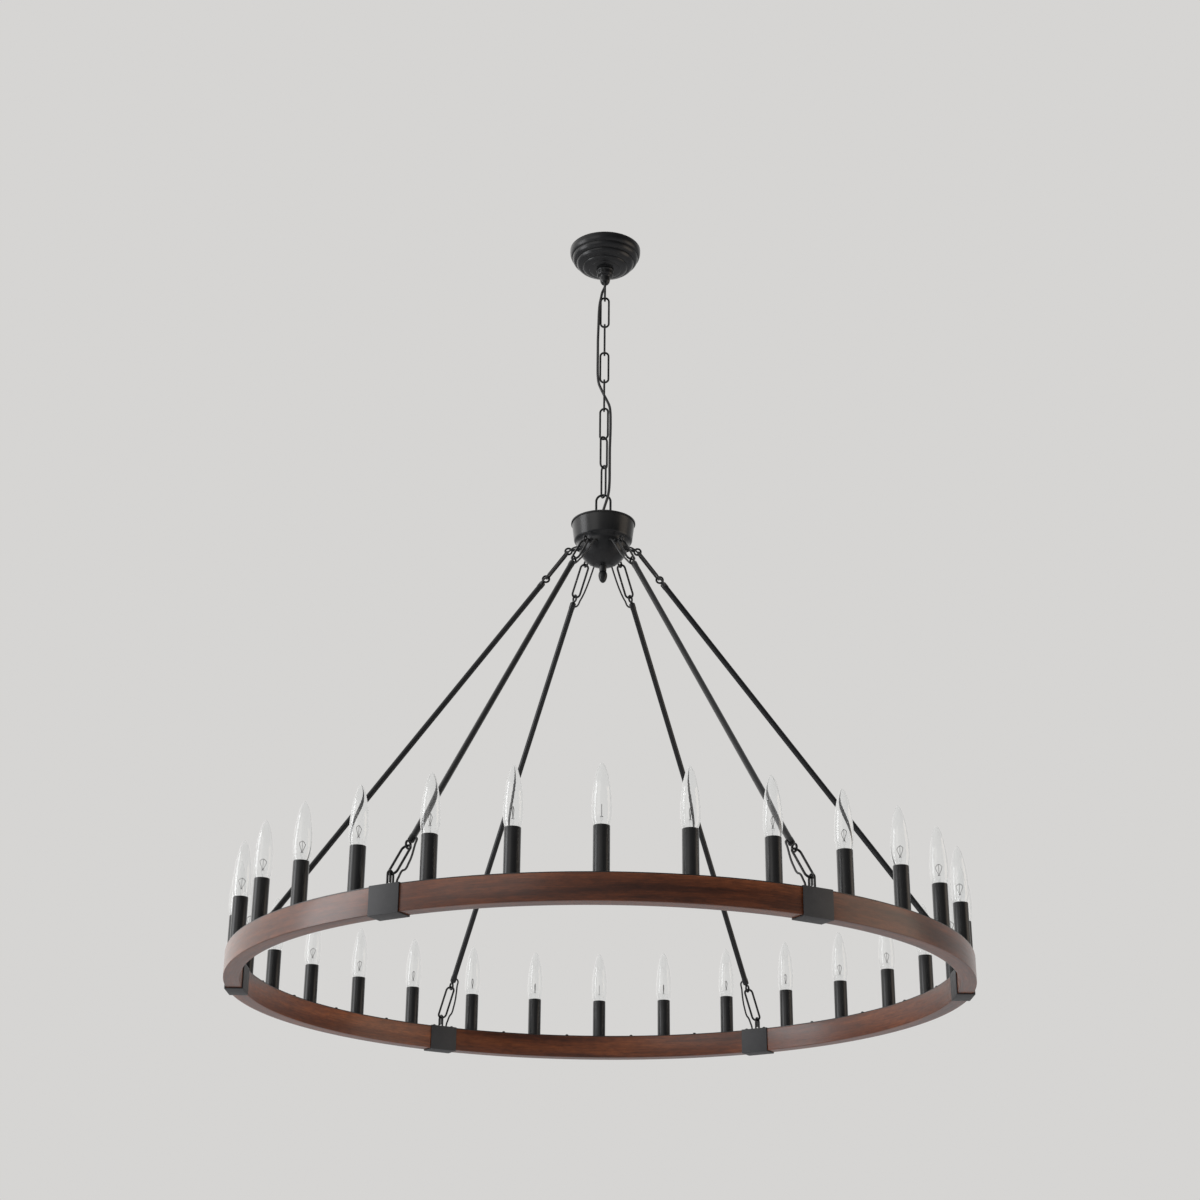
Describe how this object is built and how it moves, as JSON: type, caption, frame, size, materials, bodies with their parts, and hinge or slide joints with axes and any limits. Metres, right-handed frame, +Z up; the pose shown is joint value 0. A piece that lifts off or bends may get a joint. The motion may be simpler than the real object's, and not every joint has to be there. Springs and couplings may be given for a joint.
{
  "type": "wagon_wheel_chandelier",
  "caption": "Round wooden wagon wheel chandelier with black metal candle lamps, hung by rods, a hub and a chain from a stepped canopy",
  "frame": {"origin": "centre of the ceiling crossbar's upper face, on the ceiling, in the middle of its two mounting slots", "axes": "+Z up along the chain's axis; -Y front, as the picture was taken; +X right seen from the front"},
  "size_m": [1.2242, 1.2226, 1.4271],
  "materials": {
    "black_metal": "satin black paint",
    "zinc_steel": "zinc plated",
    "green_screw": "green dyed zinc",
    "stained_wood": "dark walnut stain, satin",
    "cord_jacket": "black jacket",
    "orange_plastic": "moulded",
    "dark_moulding": "phenolic moulding",
    "base_brass": "rolled, bright",
    "clear_glass": "clear"
  },
  "bodies": {
    "ceiling_mount": {"ceiling_crossbar": "zinc_steel", "ground_screw": "green_screw", "threaded_nipple": "zinc_steel", "nipple_locknut": "zinc_steel", "canopy_loop": "black_metal", "wire_nuts": "orange_plastic", "supply_cord": "cord_jacket"},
    "canopy_cover": {"canopy": "black_metal", "canopy_collar_nut": "black_metal"},
    "link_1": {"chain_link_1": "black_metal"},
    "link_2": {"chain_link_2": "black_metal"},
    "link_3": {"chain_link_3": "black_metal"},
    "link_4": {"chain_link_4": "black_metal"},
    "link_5": {"chain_link_5": "black_metal"},
    "link_6": {"chain_link_6": "black_metal"},
    "link_7": {"chain_link_7": "black_metal"},
    "hub": {"hub_loop": "black_metal", "hub_lid": "black_metal", "hub_bowl": "black_metal", "hub_stem": "zinc_steel", "hub_nuts": "zinc_steel", "hub_finial": "black_metal", "hub_eye_bolts": "black_metal", "hub_connector": "dark_moulding", "leg_wires": "cord_jacket"},
    "leg_1": {"rod_1": "black_metal", "leg_links_1": "black_metal"},
    "leg_2": {"rod_2": "black_metal", "leg_links_2": "black_metal"},
    "leg_3": {"rod_3": "black_metal", "leg_links_3": "black_metal"},
    "leg_4": {"rod_4": "black_metal", "leg_links_4": "black_metal"},
    "leg_5": {"rod_5": "black_metal", "leg_links_5": "black_metal"},
    "leg_6": {"rod_6": "black_metal", "leg_links_6": "black_metal"},
    "wheel": {"rim_arc_1": "stained_wood", "rim_arc_2": "stained_wood", "rim_arc_3": "stained_wood", "rim_arc_4": "stained_wood", "rim_arc_5": "stained_wood", "rim_arc_6": "stained_wood", "rim_bracket_1": "black_metal", "rim_bracket_2": "black_metal", "rim_bracket_3": "black_metal", "rim_bracket_4": "black_metal", "rim_bracket_5": "black_metal", "rim_bracket_6": "black_metal", "bracket_eyes": "black_metal", "rim_screws": "black_metal", "channel_covers": "black_metal", "rim_wiring": "cord_jacket", "candle_sleeves": "black_metal", "lampholders": "dark_moulding", "lampholder_stems": "zinc_steel", "stem_nuts": "zinc_steel"},
    "bulbs": {"bulb_bases": "base_brass", "bulb_glass": "clear_glass", "bulb_filaments": "clear_glass"}
  },
  "joints": [
    {"name": "canopy_drop", "type": "slide", "parent": "ceiling_mount", "child": "canopy_cover", "axis": [0, 0, -1], "range_m": [0, 0.045]},
    {"name": "link_1_swing", "type": "hinge", "parent": "ceiling_mount", "child": "link_1", "pos_m": [0, 0, -0.1089], "axis": [0, 1, 0], "range_deg": [-25, 25]},
    {"name": "link_2_swing", "type": "hinge", "parent": "link_1", "child": "link_2", "pos_m": [0, 0, -0.1678], "axis": [1, 0, 0], "range_deg": [-25, 25]},
    {"name": "link_3_swing", "type": "hinge", "parent": "link_2", "child": "link_3", "pos_m": [0, 0, -0.2269], "axis": [0, 1, 0], "range_deg": [-25, 25]},
    {"name": "link_4_swing", "type": "hinge", "parent": "link_3", "child": "link_4", "pos_m": [0, 0, -0.286], "axis": [-1, 0, 0], "range_deg": [-25, 25]},
    {"name": "link_5_swing", "type": "hinge", "parent": "link_4", "child": "link_5", "pos_m": [0, 0, -0.3451], "axis": [0, -1, 0], "range_deg": [-25, 25], "deforming": ["supply_cord"]},
    {"name": "link_6_swing", "type": "hinge", "parent": "link_5", "child": "link_6", "pos_m": [0, 0, -0.4042], "axis": [0.9397, -0.342, 0], "range_deg": [-25, 25]},
    {"name": "link_7_swing", "type": "hinge", "parent": "link_6", "child": "link_7", "pos_m": [0, 0, -0.4633], "axis": [0.766, 0.6428, 0], "range_deg": [-25, 25]},
    {"name": "hub_swing", "type": "hinge", "parent": "link_7", "child": "hub", "pos_m": [0, 0, -0.5224], "axis": [-0.5, 0.866, 0], "range_deg": [-25, 25]},
    {"name": "wheel_twist", "type": "hinge", "parent": "hub", "child": "wheel", "pos_m": [0, 0, -1.385], "axis": [0, 0, 1], "range_deg": [-4, 4], "deforming": ["leg_wires"]},
    {"name": "leg_1_swing", "type": "hinge", "parent": "hub", "child": "leg_1", "pos_m": [-0.03091, -0.05354, -0.63056], "axis": [-0.4046, -0.7008, 0.5876], "range_deg": [-3, 3]},
    {"name": "leg_2_swing", "type": "hinge", "parent": "hub", "child": "leg_2", "pos_m": [0.03091, -0.05354, -0.63056], "axis": [0.4046, -0.7008, 0.5876], "range_deg": [-3, 3]},
    {"name": "leg_3_swing", "type": "hinge", "parent": "hub", "child": "leg_3", "pos_m": [0.06182, 0, -0.63056], "axis": [0.8092, 0, 0.5876], "range_deg": [-3, 3]},
    {"name": "leg_4_swing", "type": "hinge", "parent": "hub", "child": "leg_4", "pos_m": [0.03091, 0.05354, -0.63056], "axis": [0.4046, 0.7008, 0.5876], "range_deg": [-3, 3]},
    {"name": "leg_5_swing", "type": "hinge", "parent": "hub", "child": "leg_5", "pos_m": [-0.03091, 0.05354, -0.63056], "axis": [-0.4046, 0.7008, 0.5876], "range_deg": [-3, 3]},
    {"name": "leg_6_swing", "type": "hinge", "parent": "hub", "child": "leg_6", "pos_m": [-0.06182, 0, -0.63056], "axis": [-0.8092, 0, 0.5876], "range_deg": [-3, 3]},
    {"name": "bulbs_lift", "type": "slide", "parent": "wheel", "child": "bulbs", "axis": [0, 0, 1], "range_m": [0, 0.03]}
  ],
  "couplings": [
    {"joint": "leg_1_swing", "follows": "wheel_twist", "ratio": 0.65543},
    {"joint": "leg_2_swing", "follows": "wheel_twist", "ratio": 0.65543},
    {"joint": "leg_3_swing", "follows": "wheel_twist", "ratio": 0.65543},
    {"joint": "leg_4_swing", "follows": "wheel_twist", "ratio": 0.65543},
    {"joint": "leg_5_swing", "follows": "wheel_twist", "ratio": 0.65543},
    {"joint": "leg_6_swing", "follows": "wheel_twist", "ratio": 0.65543}
  ]
}
